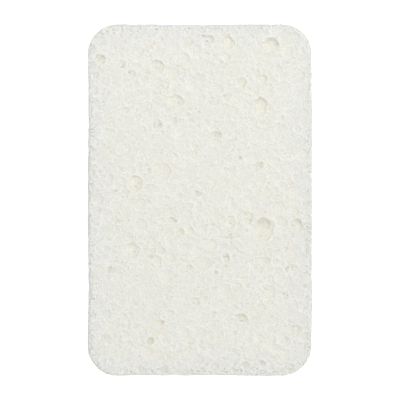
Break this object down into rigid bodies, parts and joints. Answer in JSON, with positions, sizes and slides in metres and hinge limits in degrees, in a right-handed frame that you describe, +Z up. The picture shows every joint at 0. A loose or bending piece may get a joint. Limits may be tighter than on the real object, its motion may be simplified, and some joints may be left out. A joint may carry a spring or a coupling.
{
  "type": "cellulose sponge",
  "caption": "Flat rectangular block of open-pore cellulose foam with rounded corners, held in the hand to wipe, wash or soak up water.",
  "frame": {"origin": "centre of the lower large face, which the sponge rests on", "axes": "+Z up through the thickness, +Y along the length, +X along the width"},
  "size_m": [0.07, 0.11, 0.018],
  "materials": {
    "cellulose_foam": "matte",
    "plant_fibre": "matte"
  },
  "bodies": {
    "root": {"sponge_body": "cellulose_foam", "reinforcing_fibres": "plant_fibre"}
  },
  "joints": []
}
